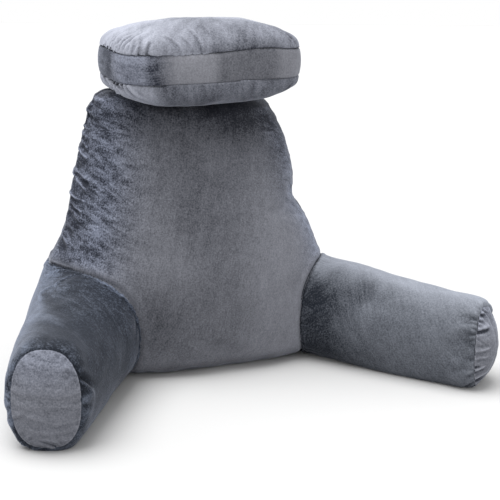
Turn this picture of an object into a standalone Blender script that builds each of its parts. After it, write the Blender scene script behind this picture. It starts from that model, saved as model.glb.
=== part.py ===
"""A reading pillow with arms, in metres, +Z up, with the seat side facing -Y.

The pillow is velvet over loose filling. A tall back stands on a flat bottom, two arms taper from
its lower sides to oval end panels, and a boxed head cushion lies on top of it. Each piece is one
closed solid, and pieces that are sewn or pressed together lie SEAM_GAP apart.
"""

import bmesh
import bpy
import numpy as np

SEAM_GAP = 0.0003

# The back: one cushion of two panels, joined by a seam up its sides and over its top.
BACK_HEIGHT = 0.46
BACK_LEAN = 0.17  # metres that the seam moves backwards for each metre of height
BOTTOM_ROLL = 0.03  # radius of the soft edge round the flat bottom
TOP_ROLL = 0.039  # height over which the two panels close towards the top seam
TOP_CORNER = 0.03  # radius of the top corners, seen from the front
FRONT_FULLNESS = (3.16, 1.45)  # how square the front panel's crown is, and how blunt its edge
REAR_FULLNESS = (2.8, 2.9)

# The arms: tubes along a curve on the floor plan, from inside the back to the end panel.
ARM_LINE = ((0.170, 0.026), (0.272, -0.154), (0.343, -0.328))  # start, control and end
RIGHT_ARM_SHIFT = ((-0.008, 0.0), (-0.025, 0.002), (0.004, 0.001))  # the right arm lies a little wider
ARM_SQUARENESS = 2.4
ROOT_DOME = 0.030  # how far the closed root rounds off backwards
ROOT_TUCK = 0.080  # how far it rounds off towards the middle of the back
END_NARROWING = 0.19  # how much narrower the end panel is than the arm's tip, as a share
END_LOWERING = {-1: 0.09, 1: 0.17}  # how much lower its top lies, on the left and the right arm
END_LIFTING = {-1: 0.19, 1: 0.17}  # how much higher its bottom lies
SHOULDER_LIFT = {-1: 0.020, 1: 0.0}  # how far the root bulges up between its top and its outer side
END_SHOULDER = 0.034  # length over which the arm's tip rolls in to the end panel's seam
END_DOME = 0.021

# The head cushion: top and bottom panels round a gusset band.
HEAD_HALF_WIDTH = 0.167
HEAD_HALF_DEPTH = 0.0961
HEAD_SQUARENESS = 4.4
HEAD_TOP_CROWN = 0.045
HEAD_BOTTOM_CROWN = 0.0506
HEAD_CROWN_POWER = 2.1
HEAD_CENTRE = (0.009, 0.010, 0.5170)
HEAD_TILT = 0.1  # radians, front edge down
HEAD_ROLL = -0.03
HEAD_YAW = 0.012
BAND_HEIGHT = 0.049
BAND_THICKNESS = 0.003
BAND_BULGE = 0.002

# How finely the surfaces are cut into faces.
BACK_ROWS = 34
BACK_COLUMNS = 24
ARM_STATIONS = 15
ARM_SIDES = 36
HEAD_SIDES = 44


def table(columns, *rows):
    """A short table as a dictionary from the name of each column to its values."""
    return dict(zip(columns.split(), np.array(rows, float).T))


BACK_SECTIONS = table(
    "height  half_width  front_depth  rear_depth",
    (0.00, 0.265, 0.144, 0.120),
    (0.12, 0.250, 0.177, 0.120),
    (0.24, 0.2255, 0.167, 0.116),
    (0.36, 0.1965, 0.123, 0.086),
    (0.46, 0.157, 0.093, 0.054),
)

# How much further out than its section each side stands round a height.
BACK_SWELLS = table(
    "side  height  half_height  outwards",
    (-1, 0.165, 0.045, 0.018),
    (-1, 0.460, 0.040, 0.006),
    (1, 0.268, 0.035, -0.014),
    (1, 0.160, 0.040, 0.006),
    (1, 0.460, 0.030, -0.010),
)

# The sink is how much of the round section the floor flattens. At the root it stays clear.
ARM_SECTIONS = table(
    "share  half_width  height  sink",
    (0.0, 0.112, 0.190, -0.005),
    (0.5, 0.0865, 0.169, 0.012),
    (1.0, 0.060, 0.169, 0.012),
)

# How much lower the right arm's top lies than its section's, where its filling has settled.
RIGHT_ARM_DROP = table(
    "share  drop",
    (0.00, 0.026),
    (0.12, 0.016),
    (0.30, 0.003),
    (0.50, -0.003),
    (0.70, -0.001),
    (0.85, 0.004),
    (1.00, 0.011),
)

# Troughs that run from the side seams across the flanks. A trough drops by slant metres for each
# metre that it runs inwards, and fades out after its reach. The side is -1 on the left, 1 on the right.
SEAM_FOLDS = table(
    "side  seam_height  reach  depth  half_width  slant",
    (-1, 0.432, 0.060, 0.0050, 0.009, 1.0),
    (-1, 0.395, 0.070, 0.0055, 0.008, 0.9),
    (-1, 0.362, 0.080, 0.0060, 0.010, 0.8),
    (-1, 0.318, 0.065, 0.0050, 0.008, 0.9),
    (-1, 0.284, 0.075, 0.0055, 0.010, 0.7),
    (-1, 0.236, 0.060, 0.0040, 0.011, 0.5),
    (1, 0.425, 0.055, 0.0040, 0.009, 0.8),
    (1, 0.372, 0.070, 0.0045, 0.010, 0.9),
    (1, 0.322, 0.060, 0.0040, 0.009, 0.7),
    (1, 0.262, 0.075, 0.0060, 0.011, 0.6),
    (1, 0.214, 0.060, 0.0050, 0.010, 0.4),
)


def smooth_curve(at, known_at, known):
    """Values at `at` on the one polynomial that runs through all the known ones."""
    return np.polynomial.Polynomial.fit(known_at, known, len(known) - 1)(at)


def oval(squareness, count, half_x=1.0, half_y=1.0):
    """Points evenly spaced along |x/half_x|^squareness + |y/half_y|^squareness = 1, from +X round."""
    turn = np.linspace(0, 2 * np.pi, 4001)
    x = half_x * np.sign(np.cos(turn)) * np.abs(np.cos(turn)) ** (2 / squareness)
    y = half_y * np.sign(np.sin(turn)) * np.abs(np.sin(turn)) ** (2 / squareness)
    length = np.concatenate([[0], np.cumsum(np.hypot(np.diff(x), np.diff(y)))])
    at = np.linspace(0, length[-1], count, endpoint=False)
    return np.stack([np.interp(at, length, x), np.interp(at, length, y)], axis=-1)


def curve_and_heading(ends, share):
    """Points, and unit steps forward, on the quadratic curve of a start, a control and an end point."""
    start, control, end = np.array(ends)
    t = share[:, None]
    points = start * (1 - t) ** 2 + 2 * control * t * (1 - t) + end * t**2
    steps = (control - start) * (1 - t) + (end - control) * t
    return points, steps / np.linalg.norm(steps, axis=1)[:, None]


def velvet(name, color):
    material = bpy.data.materials.new(name)
    material.use_nodes = True
    shader = material.node_tree.nodes["Principled BSDF"]
    shader.inputs["Base Color"].default_value = (*color, 1)
    shader.inputs["Roughness"].default_value = 0.85
    shader.inputs["Metallic"].default_value = 0.0
    return material


def mesh_object(name, points, faces, material, pillow):
    """A mesh object whose faces point outwards, placed under the pillow's empty."""
    mesh = bpy.data.meshes.new(name)
    mesh.from_pydata(points.tolist(), [], faces)
    shape = bmesh.new()
    shape.from_mesh(mesh)
    bmesh.ops.recalc_face_normals(shape, faces=shape.faces)
    bmesh.ops.triangulate(shape, faces=[face for face in shape.faces if len(face.verts) > 4])
    shape.to_mesh(mesh)
    shape.free()
    mesh.materials.append(material)
    mesh.shade_smooth()
    obj = bpy.data.objects.new(name, mesh)
    obj.parent = pillow
    bpy.context.scene.collection.objects.link(obj)
    return obj


def tube_faces(rings, sides):
    """Quads between neighbouring rings of points, each ring with this many sides."""
    ring, side = np.meshgrid(np.arange(rings - 1), np.arange(sides), indexing="ij")
    here = ring * sides + side
    across = ring * sides + (side + 1) % sides
    return np.stack([here, across, across + sides, here + sides], axis=-1).reshape(-1, 4).tolist()


def closed_tube(name, rings, material, pillow):
    """A tube from an array of rings (ring, side, xyz), closed by a fan to a centre at each end."""
    count, sides = rings.shape[:2]
    points = np.concatenate([rings.reshape(-1, 3), [rings[0].mean(axis=0), rings[-1].mean(axis=0)]])
    faces = tube_faces(count, sides)
    start, end = count * sides, count * sides + 1
    last = (count - 1) * sides
    for side in range(sides):
        after = (side + 1) % sides
        faces.append([start, after, side])
        faces.append([end, last + side, last + after])
    return mesh_object(name, points, faces, material, pillow)


def back_heights():
    """Heights of the rows: even angles round the bottom edge and the top, even steps between."""
    roll = np.linspace(0, np.pi / 2, 5)[:-1]
    bottom = BOTTOM_ROLL * (1 - np.cos(roll))
    top = BACK_HEIGHT - TOP_ROLL * (1 - np.sin(roll))
    between = np.linspace(BOTTOM_ROLL, top[0], BACK_ROWS - 2 * len(roll))
    return np.concatenate([bottom, between[:-1], top, [BACK_HEIGHT]])


def swell(side, height):
    """How far one side of the back stands out from its section at each height."""
    outwards = np.zeros(len(height))
    for row_side, middle, half_height, most in zip(*BACK_SWELLS.values()):
        if row_side == side:
            outwards += most * np.exp(-(((height - middle) / half_height) ** 2))
    return outwards


def fold_depth(side, height, from_seam):
    """Summed depth of the seam folds on one side, at this height and distance from the seam."""
    depth = np.zeros(np.broadcast(height, from_seam).shape)
    for row in zip(*SEAM_FOLDS.values()):
        fold = dict(zip(SEAM_FOLDS, row))
        if fold["side"] != side:
            continue
        middle = fold["seam_height"] - fold["slant"] * from_seam
        fade = np.clip(1 - from_seam / fold["reach"], 0, 1) ** 1.5
        depth += fold["depth"] * fade * np.exp(-(((height - middle) / fold["half_width"]) ** 2))
    return depth


def back_panels():
    """Points of the front and the rear panel, each as (row, column, xyz).

    A panel's depth at a share u of the half width is depth * (1 - |u|^power)^(1/bluntness). Both
    panels share their outer columns, on the side seams, and their last row, on the top seam.
    """
    height = back_heights()
    columns = [
        smooth_curve(height, BACK_SECTIONS["height"], BACK_SECTIONS[name])
        for name in ("half_width", "front_depth", "rear_depth")
    ]
    inset = BOTTOM_ROLL - np.sqrt(BOTTOM_ROLL**2 - np.clip(BOTTOM_ROLL - height, 0, None) ** 2)
    half_width, front, rear = (column - inset for column in columns)
    corner = np.clip(1 - (BACK_HEIGHT - height) / TOP_CORNER, 0, 1)
    half_width = half_width - TOP_CORNER * (1 - np.sqrt(1 - corner**2))
    widths = {side: half_width + swell(side, height) for side in (-1, 1)}
    closing = np.sqrt(1 - np.clip(1 - (BACK_HEIGHT - height) / TOP_ROLL, 0, 1) ** 2)
    even = np.cos(np.linspace(np.pi, 0, BACK_COLUMNS + 1))
    across = np.sign(even) * (1 - (1 - np.abs(even)) ** 1.15)
    seam = (BACK_LEAN * height)[:, None]
    panels = []
    for outwards, depth, (power, bluntness) in (
        (-1, front * closing, FRONT_FULLNESS),
        (1, rear * closing, REAR_FULLNESS),
    ):
        crown = (1 - np.abs(across) ** power) ** (1 / bluntness)
        x = np.where(across < 0, widths[-1][:, None], widths[1][:, None]) * across
        fullness = depth[:, None] * crown
        z = np.broadcast_to(height[:, None], x.shape)
        for side in (-1, 1):
            from_seam = np.hypot(widths[side][:, None] - side * x, fullness)
            trough = fold_depth(side, z, from_seam) * (side * across > 0)
            fullness = fullness - trough * crown * closing[:, None]
            x = x - side * trough * (1 - crown)
        panels.append(np.stack([x, seam + outwards * fullness, z], axis=-1))
    return panels


def build_back(material, pillow):
    """The front panel's grid, then the rear panel's own points, over one flat bottom."""
    front, rear = back_panels()
    rows, columns = front.shape[:2]
    front_index = np.arange(rows * columns).reshape(rows, columns)
    rear_index = front_index.copy()
    own = (slice(0, rows - 1), slice(1, columns - 1))
    rear_index[own] = rows * columns + np.arange((rows - 1) * (columns - 2)).reshape(rows - 1, columns - 2)
    points = np.concatenate([front.reshape(-1, 3), rear[own].reshape(-1, 3)])
    faces = []
    for index in (front_index, rear_index[:, ::-1]):
        quads = np.stack([index[:-1, :-1], index[:-1, 1:], index[1:, 1:], index[1:, :-1]], axis=-1)
        faces += quads.reshape(-1, 4).tolist()
    for column in range(columns - 1):
        corners = [
            rear_index[0, column],
            rear_index[0, column + 1],
            front_index[0, column + 1],
            front_index[0, column],
        ]
        faces.append(list(dict.fromkeys(int(corner) for corner in corners)))
    return mesh_object("backrest", points, faces, material, pillow)


def clearance_cutter(back, pillow):
    """The back grown by SEAM_GAP on every side. It trims what is sewn to the back or lies on it."""
    cutter = back.copy()
    cutter.data = back.data.copy()
    cutter.name = "back_clearance"
    cutter.parent = pillow
    cutter.hide_render = True
    cutter.display_type = "WIRE"
    bpy.context.scene.collection.objects.link(cutter)
    shape = bmesh.new()
    shape.from_mesh(cutter.data)
    shape.normal_update()
    moves = [(vert, vert.normal * SEAM_GAP * vert.calc_shell_factor()) for vert in shape.verts]
    for vert, move in moves:
        vert.co += move
    shape.to_mesh(cutter.data)
    shape.free()
    return cutter


def trim(obj, cutter):
    cut = obj.modifiers.new("trimmed_to_back", "BOOLEAN")
    cut.operation = "DIFFERENCE"
    cut.object = cutter


def arm_stations(side):
    """Centre, heading, half width, half height, sink, drop, lift and side of each section. The places
    are those of an arm on the right-hand side."""
    share = np.linspace(0, 1, ARM_STATIONS)
    line = np.array(ARM_LINE) + np.array(RIGHT_ARM_SHIFT) * (side > 0)
    centre, heading = curve_and_heading(line, share)
    half_width, height, sink = (
        smooth_curve(share, ARM_SECTIONS["share"], ARM_SECTIONS[name])
        for name in ("half_width", "height", "sink")
    )
    drop = np.interp(share, RIGHT_ARM_DROP["share"], RIGHT_ARM_DROP["drop"]) * (side > 0)
    lift = SHOULDER_LIFT[side] * np.clip(1 - share / 0.4, 0, 1) ** 2
    return list(zip(centre, heading, half_width, height / 2, sink, drop, lift, [side] * len(share)))


def arm_ring(station, forward=0.0, share=1.0, tip=0.0):
    """One section: an upright oval square to the arm, moved forward, scaled by share, narrowed as far
    as tip says towards the end panel's size, and flattened on the floor."""
    centre, heading, half_width, half_height, sink, drop, lift, side = station
    across, up = oval(ARM_SQUARENESS, ARM_SIDES).T
    outwards = np.array([-heading[1], heading[0]]) * half_width * (1 - END_NARROWING * tip)
    plan = centre + heading * forward + (across * share)[:, None] * outwards
    smaller = np.where(up > 0, END_LOWERING[side], END_LIFTING[side])
    height = half_height - sink + up * share * (1 - smaller * tip) * half_height
    height += lift * share * np.exp(-(((across - 0.85) / 0.35) ** 2)) * np.clip(up, 0, 1)
    height *= 1 - drop / (2 * half_height)
    return np.column_stack([plan, np.maximum(height, 0)])


def build_arm(name, side, material, cutter, pillow):
    """The tube from its closed root, inside the back, to the flat end that carries the end panel."""
    stations = arm_stations(side)
    rings = []
    for turn in np.radians((85, 65, 45, 28, 14)):
        root = arm_ring(stations[0], -ROOT_DOME * np.sin(turn), np.cos(turn))
        rings.append(root - (ROOT_TUCK * (1 - np.cos(turn)), 0, 0))
    rings += [arm_ring(station) for station in stations]
    for step in (0.35, 0.7, 1.0):
        rings.append(arm_ring(stations[-1], END_SHOULDER * np.sin(step * np.pi / 2), 1.0, step**1.8))
    rings = np.array(rings) * (side, 1, 1)
    arm = closed_tube(name, rings, material, pillow)
    trim(arm, cutter)
    return arm


def build_arm_end(name, side, material, pillow):
    """The oval end panel: flat where it meets the arm's end, domed outside."""
    tip = arm_stations(side)[-1]
    seat = END_SHOULDER + SEAM_GAP
    rings = [arm_ring(tip, seat, radius, 1.0) for radius in (0.1, 0.6, 1.0)]
    for radius in (0.86, 0.68, 0.46, 0.24, 0.06):
        rings.append(arm_ring(tip, seat + END_DOME * (1 - radius**2.5), radius, 1.0))
    rings = np.array(rings) * (side, 1, 1)
    return closed_tube(name, rings, material, pillow)


def place_on_head(obj):
    obj.location = HEAD_CENTRE
    obj.rotation_mode = "YXZ"
    obj.rotation_euler = (HEAD_TILT, HEAD_ROLL, HEAD_YAW)


def head_ring(height, inset=0.0, share=1.0):
    """One level ring of the head cushion, this far inside its outline and scaled by share."""
    plan = oval(HEAD_SQUARENESS, HEAD_SIDES, HEAD_HALF_WIDTH, HEAD_HALF_DEPTH)
    inside = 1 - inset / np.array([HEAD_HALF_WIDTH, HEAD_HALF_DEPTH])
    return np.column_stack([plan * inside * share, np.full(HEAD_SIDES, height)])


def build_head_cushion(material, cutter, pillow):
    """Two crowned panels, with a groove between their edges that the band lies in."""
    edge = BAND_HEIGHT / 2
    shares = (0.03, 0.2, 0.4, 0.6, 0.76, 0.88, 0.96)
    rise = [np.sqrt(1 - share**HEAD_CROWN_POWER) for share in shares]
    groove = BAND_THICKNESS + SEAM_GAP
    rings = [head_ring(-edge - HEAD_BOTTOM_CROWN * up, 0, share) for share, up in zip(shares, rise)]
    rings += [head_ring(-edge), head_ring(-edge, groove), head_ring(edge, groove), head_ring(edge)]
    rings += [
        head_ring(edge + HEAD_TOP_CROWN * up, 0, share) for share, up in zip(shares[::-1], rise[::-1])
    ]
    cushion = closed_tube("head_cushion", np.array(rings), material, pillow)
    place_on_head(cushion)
    trim(cushion, cutter)
    return cushion


def build_head_band(material, pillow):
    """The gusset: a closed strip, a little bulged, in the groove of the head cushion."""
    edge = BAND_HEIGHT / 2 - SEAM_GAP
    levels = np.linspace(-1, 1, 5)
    rings = [head_ring(edge * level, -BAND_BULGE * (1 - level**2)) for level in levels]
    rings += [head_ring(edge * level, BAND_THICKNESS) for level in levels[::-1]]
    rings.append(rings[0])
    rings = np.array(rings)
    count = (len(rings) - 1) * HEAD_SIDES
    faces = (np.array(tube_faces(len(rings), HEAD_SIDES)) % count).tolist()
    band = mesh_object("head_band", rings[:-1].reshape(-1, 3), faces, material, pillow)
    place_on_head(band)
    return band


def stand_on_origin(pillow, pieces):
    """Moves the pillow so that the middle of its outer box's bottom is the origin."""
    bpy.context.view_layer.update()
    graph = bpy.context.evaluated_depsgraph_get()
    low, high = np.full(3, np.inf), np.full(3, -np.inf)
    for piece in pieces:
        shape = piece.evaluated_get(graph)
        corners = np.array([shape.matrix_world @ vert.co for vert in shape.data.vertices])
        low = np.minimum(low, corners.min(axis=0))
        high = np.maximum(high, corners.max(axis=0))
    pillow.location = (-(low[0] + high[0]) / 2, -(low[1] + high[1]) / 2, -low[2])


def main():
    for obj in list(bpy.data.objects):
        bpy.data.objects.remove(obj, do_unlink=True)
    pillow = bpy.data.objects.new("reading_pillow", None)
    bpy.context.scene.collection.objects.link(pillow)
    back = build_back(velvet("back_velvet", (0.13, 0.13, 0.15)), pillow)
    cutter = clearance_cutter(back, pillow)
    pieces = [back]
    for side, name in ((-1, "left"), (1, "right")):
        pieces.append(build_arm(f"arm_{name}", side, velvet("arm_velvet", (0.09, 0.1, 0.13)), cutter, pillow))
        pieces.append(build_arm_end(f"arm_end_{name}", side, velvet("end_velvet", (0.16, 0.17, 0.19)), pillow))
    pieces.append(build_head_cushion(velvet("head_velvet", (0.2, 0.21, 0.24)), cutter, pillow))
    pieces.append(build_head_band(velvet("band_velvet", (0.12, 0.12, 0.14)), pillow))
    stand_on_origin(pillow, pieces)


main()
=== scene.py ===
"""The reading pillow's looks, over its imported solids, in metres, +Z up, with the seat side facing -Y.

The sections follow the pillow as it is put together: the place it is shown in, the tall back, the two
arms, their oval end panels, the head cushion and its gusset band. Each starts from the same curves as
its solid, the back and the arms are blown up as cloth, and all get seams, gathers and pile.
"""

import bpy
import numpy as np
from mathutils import Euler, Matrix, Vector


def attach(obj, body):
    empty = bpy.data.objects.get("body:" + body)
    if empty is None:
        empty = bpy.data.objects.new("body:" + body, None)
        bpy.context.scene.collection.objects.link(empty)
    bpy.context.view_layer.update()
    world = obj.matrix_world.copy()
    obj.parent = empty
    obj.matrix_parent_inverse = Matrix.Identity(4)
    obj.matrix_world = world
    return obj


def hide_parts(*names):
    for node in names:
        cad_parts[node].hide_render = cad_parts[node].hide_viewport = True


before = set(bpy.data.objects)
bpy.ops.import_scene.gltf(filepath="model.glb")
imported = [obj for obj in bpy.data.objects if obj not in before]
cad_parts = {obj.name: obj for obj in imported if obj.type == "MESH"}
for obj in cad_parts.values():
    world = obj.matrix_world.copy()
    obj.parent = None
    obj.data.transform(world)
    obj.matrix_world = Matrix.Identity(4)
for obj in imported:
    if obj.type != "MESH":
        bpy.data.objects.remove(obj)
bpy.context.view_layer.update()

# ------------------------------
# The place: a white floor under a wide overhead light and a soft front one, seen by the camera from
# the left in front, a little from above.

TURN = -0.4101  # radians from straight in front, towards the left
RISE = 0.2265
DISTANCE = 1.9
AIM = (0.1011, 0.1138, 0.173)
ROLL = 0.012
LENS = 74.475  # mm, on a 36 mm wide sensor

scene = bpy.context.scene
scene.view_settings.view_transform = "Standard"

camera = bpy.data.objects.new("camera", bpy.data.cameras.new("camera"))
camera.data.lens = LENS
camera.data.sensor_width = 36
turns = [Matrix.Rotation(*turn) for turn in ((TURN, 4, "Z"), (np.pi / 2 - RISE, 4, "X"), (ROLL, 4, "Z"))]
away = Matrix.Translation((0, 0, DISTANCE))
camera.matrix_world = Matrix.Translation(AIM) @ turns[0] @ turns[1] @ turns[2] @ away
scene.collection.objects.link(camera)
scene.camera = camera


def mesh_piece(name, points, *faces):
    """A smooth-shaded mesh object from an array of points and arrays of faces."""
    mesh = bpy.data.meshes.new(name)
    mesh.from_pydata(points.tolist(), [], [face for part in faces for face in np.asarray(part).tolist()])
    mesh.shade_smooth()
    piece = bpy.data.objects.new(name, mesh)
    scene.collection.objects.link(piece)
    return piece


def lamp(name, kind, place, aim, energy, **settings):
    """A studio light at a place, turned towards the point that it aims at."""
    light = bpy.data.lights.new(name, kind)
    light.energy = energy
    for setting, value in settings.items():
        setattr(light, setting, value)
    holder = bpy.data.objects.new(name, light)
    holder.location = place
    holder.rotation_euler = (Vector(place) - Vector(aim)).to_track_quat("Z", "Y").to_euler()
    scene.collection.objects.link(holder)


FLOOR_HALF = 40.0
corners = np.array([(-1, -1, 0), (1, -1, 0), (1, 1, 0), (-1, 1, 0)])
floor = mesh_piece("floor", FLOOR_HALF * corners, [(0, 1, 2, 3)])
floor_white = bpy.data.materials.new("floor_white")
floor_white.use_nodes = True
finish = floor_white.node_tree.nodes["Principled BSDF"].inputs
finish["Base Color"].default_value = (0.47, 0.47, 0.47, 1)
finish["Roughness"].default_value = 0.9
floor.data.materials.append(floor_white)

lamp("wide_overhead", "SUN", (-0.55, 0.3, 2.4), (0, 0.1, 0.2), 4.0, angle=0.9)
lamp("front_fill", "AREA", (0.9, -2.6, 1.2), (0, 0, 0.25), 8, size=1.6)
world = bpy.data.worlds.new("studio")
world.use_nodes = True
backdrop = world.node_tree.nodes["Background"].inputs
backdrop["Color"].default_value = (1, 1, 1, 1)
backdrop["Strength"].default_value = 1.0
scene.world = world

# ------------------------------
# The back: one tall bag of two velvet panels, sewn together up its sides and over its top, packed with
# loose foam. It stands on a flat bottom, and the cover gathers where the side seams are shorter.

ORIGIN = np.array([-0.002236, 0.113935, 0.0])  # where the middle of the bottom seam line stands
BACK_HEIGHT = 0.46
BACK_LEAN = 0.17
BOTTOM_ROLL = 0.03
TOP_ROLL = 0.039
TOP_CORNER = 0.03
FRONT_FULLNESS = (3.16, 1.45)  # how square the front panel's crown is, and how blunt its edge
REAR_FULLNESS = (2.8, 2.9)
BACK_ROWS = 320
BACK_COLUMNS = 180
BACK_CLOTH = (0.005, 0.02)  # the most that the simulated cloth may move, and its slack
CLOTH_FRAMES = 20
SEAM_HOLD = 0.0025  # over this distance a seam holds the gathers down


def table(columns, *rows):
    """A short table as a dictionary from the name of each column to its values."""
    return dict(zip(columns.split(), np.array(rows, float).T))


BACK_SECTIONS = table(
    "height  half_width  front_depth  rear_depth",
    (0, 0.265, 0.144, 0.12), (0.12, 0.25, 0.177, 0.12), (0.24, 0.2255, 0.167, 0.116),
    (0.36, 0.1965, 0.123, 0.086), (0.46, 0.157, 0.093, 0.054),
)
# How far each side stands out from those sections.
BACK_SWELLS = {
    -1: table("height  half_height  out", (0.165, 0.045, 0.018), (0.46, 0.04, 0.006)),
    1: table("height  half_height  out", (0.268, 0.035, -0.014), (0.16, 0.04, 0.006), (0.46, 0.03, -0.01)),
}
# The sewn side seam: how far round on to the front it lies from the widest line of the bag.
SIDE_SEAM = table(
    "height  forward",
    (0.17, 0.068), (0.212, 0.058), (0.3, 0.049), (0.333, 0.04),
    (0.365, 0.03), (0.4, 0.019), (0.43, 0.014), (0.455, 0.004),
)
FOLD = "from_across  from_along  to_across  to_along  depth  half_width"
# Pleats of the side, each from its outer end down to the side seam, in distances forwards round the
# bag from its widest line, and heights.
SIDE_PLEATS = table(
    FOLD,
    (-0.03, 0.454, 0.04, 0.443, 0.004, 0.0024), (-0.03, 0.433, 0.048, 0.419, 0.0045, 0.0022),
    (0.01, 0.429, 0.046, 0.4275, 0.003, 0.0022), (-0.03, 0.409, 0.024, 0.398, 0.0036, 0.0022),
    (-0.03, 0.396, 0.029, 0.3835, 0.0034, 0.0018), (-0.03, 0.392, 0.031, 0.367, 0.0045, 0.0019),
    (-0.03, 0.375, 0.035, 0.35, 0.0045, 0.0019), (-0.03, 0.372, 0.026, 0.339, 0.003, 0.0018),
    (-0.03, 0.335, 0.05, 0.299, 0.0055, 0.0022), (0, 0.332, 0.053, 0.3145, 0.0045, 0.0022),
    (-0.03, 0.293, 0.053, 0.28, 0.005, 0.0022), (-0.03, 0.288, 0.05, 0.261, 0.0045, 0.002),
    (-0.01, 0.274, 0.053, 0.245, 0.0045, 0.0021), (-0.03, 0.23, 0.034, 0.206, 0.0036, 0.0022),
    (-0.02, 0.252, 0.036, 0.23, 0.0024, 0.0024), (0.06, 0.2195, 0.095, 0.211, 0.0026, 0.0026),
)
RIGHT_PLEATS_LOWER = 0.012
RIGHT_GATHERED = 0.35  # how deep the right side's folds are, as a share of the left side's


def smooth_curve(at, rows, *names):
    """The named columns of a table at `at`, each on the one polynomial that runs through its rows."""
    known_at = next(iter(rows.values()))
    return [np.polynomial.Polynomial.fit(known_at, rows[name], len(known_at) - 1)(at) for name in names]


def bell(value, middle, half_width):
    """A bell curve: e^-t^2, with t the distance from the middle in half widths."""
    return np.exp(-(((value - middle) / half_width) ** 2))


def bells(value, rows):
    """The sum of bell curves, one for each row of a middle, a half width and a height."""
    return sum(most * bell(value, middle, half_width) for middle, half_width, most in zip(*rows.values()))


def back_section(height):
    """Half widths left and right, and front and rear depth, with the bottom edge, the top corners and
    the top edge rounded as quarter circles: r - sqrt(r^2 - d^2) at a distance d into the rounding."""
    half_width, front, rear = smooth_curve(height, BACK_SECTIONS, "half_width", "front_depth", "rear_depth")
    inset = BOTTOM_ROLL - np.sqrt(BOTTOM_ROLL**2 - np.clip(BOTTOM_ROLL - height, 0, BOTTOM_ROLL) ** 2)
    corner = np.clip(1 - (BACK_HEIGHT - height) / TOP_CORNER, 0, 1)
    half_width = half_width - inset - TOP_CORNER * (1 - np.sqrt(1 - corner**2))
    closing = np.sqrt(1 - np.clip(1 - (BACK_HEIGHT - height) / TOP_ROLL, 0, 1) ** 2)
    left, right = (half_width + bells(height, BACK_SWELLS[side]) for side in (-1, 1))
    return left, right, (front - inset) * closing, (rear - inset) * closing


def back_faces(x, height):
    """How far the front and the rear panel stand from the seam plane above and below each place: the
    depth times (1 - |u|^power)^(1/bluntness) at a share u of the half width."""
    left, right, front, rear = back_section(np.clip(height, 0, BACK_HEIGHT).ravel())
    share = np.clip(np.abs(x) / np.where(x < 0, left.reshape(x.shape), right.reshape(x.shape)), 0, 1)
    return [
        depth.reshape(x.shape) * (1 - share**power) ** (1 / bluntness)
        for depth, (power, bluntness) in ((front, FRONT_FULLNESS), (rear, REAR_FULLNESS))
    ]


def back_grids(height, share):
    """The front and the rear panel as (row, column, xyz), from rows of heights and columns of shares
    of the half width."""
    left, right, _, _ = back_section(height)
    x = np.where(share < 0, left[:, None], right[:, None]) * share
    z = np.broadcast_to(height[:, None], x.shape)
    ahead, behind = back_faces(x, z)
    return [np.stack([x, BACK_LEAN * z + off, z], axis=-1) + ORIGIN for off in (-ahead, behind)]


def grid_quads(index):
    """Quads between the rows and the columns of a grid of point numbers."""
    return np.stack([index[:-1, :-1], index[:-1, 1:], index[1:, 1:], index[1:, :-1]], axis=-1).reshape(-1, 4)


def back_mesh(front, rear):
    """Both panels as points and quads that share the side seams and the top seam, with the bottom as a
    strip between them; also the two end triangles, and the number of each grid's points."""
    rows, columns = front.shape[:2]
    front_index = np.arange(rows * columns).reshape(rows, columns)
    rear_index = front_index.copy()
    own = (slice(0, rows - 1), slice(1, columns - 1))
    rear_index[own] = rows * columns + np.arange((rows - 1) * (columns - 2)).reshape(rows - 1, -1)
    points = np.concatenate([front.reshape(-1, 3), rear[own].reshape(-1, 3)])
    low, under = front_index[0], rear_index[0]
    bottom = np.stack([under[:-1], under[1:], low[1:], low[:-1]], axis=-1)[1:-1]
    ends = np.array([[low[0], under[1], low[1]], [low[-2], under[-2], low[-1]]])
    quads = np.concatenate([grid_quads(front_index), grid_quads(rear_index[:, ::-1]), bottom])
    return points, quads, ends, front_index, rear_index


def cloth_normals(points, quads):
    """Unit normals at the points: each quad's diagonals crossed, summed at its corners."""
    corner = points[quads]
    cross = np.cross(corner[:, 2] - corner[:, 0], corner[:, 3] - corner[:, 1])
    corners = quads.ravel()
    total = np.stack([np.bincount(corners, part.repeat(4), len(points)) for part in cross.T], axis=-1)
    return total / np.maximum(np.linalg.norm(total, axis=1), 1e-12)[:, None]


def waves(points, size, seed, count=28):
    """Smooth noise, about -1 to 1: the mean of cosines along random ways, about `size` metres long."""
    pick = np.random.default_rng(seed)
    way = pick.normal(size=(count, 3))
    way /= np.linalg.norm(way, axis=1)[:, None]
    step = way * (2 * np.pi / (size * pick.uniform(0.7, 1.6, count)))[:, None]
    return np.cos(points @ step.T + pick.uniform(0, 2 * np.pi, count)).sum(axis=-1) / np.sqrt(count * 1.3)


def gathers(along, away, pitch, depth, reach, seed, lean=0.0):
    """Small pleats that run away from a seam, about one `pitch` apart along it. Each is a trough of up
    to `depth` beside a lower crest, bell curves across that widen and fade as e^-(away / reach)^1.5."""
    pick = np.random.default_rng(seed)
    low, high = along.min(), along.max()
    height = np.zeros(along.shape)
    for number in range(max(int((high - low) / pitch), 1)):
        place = low + (number + pick.uniform(0.1, 0.9)) * pitch
        most = depth * pick.uniform(0.25, 1.0)
        width = pitch * pick.uniform(0.18, 0.36)
        gone = reach * pick.uniform(0.5, 1.3)
        turn = lean + pick.normal() * 0.25
        off = (along - place - turn * away) / (width * (1 + away / gone))
        pleat = 0.7 * bell(off, 1.5, 1) - bell(off, 0, 1)
        height += most * pleat * np.exp(-((away / gone) ** 1.5))
    return height * (1 - np.exp(-away / SEAM_HOLD))


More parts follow.
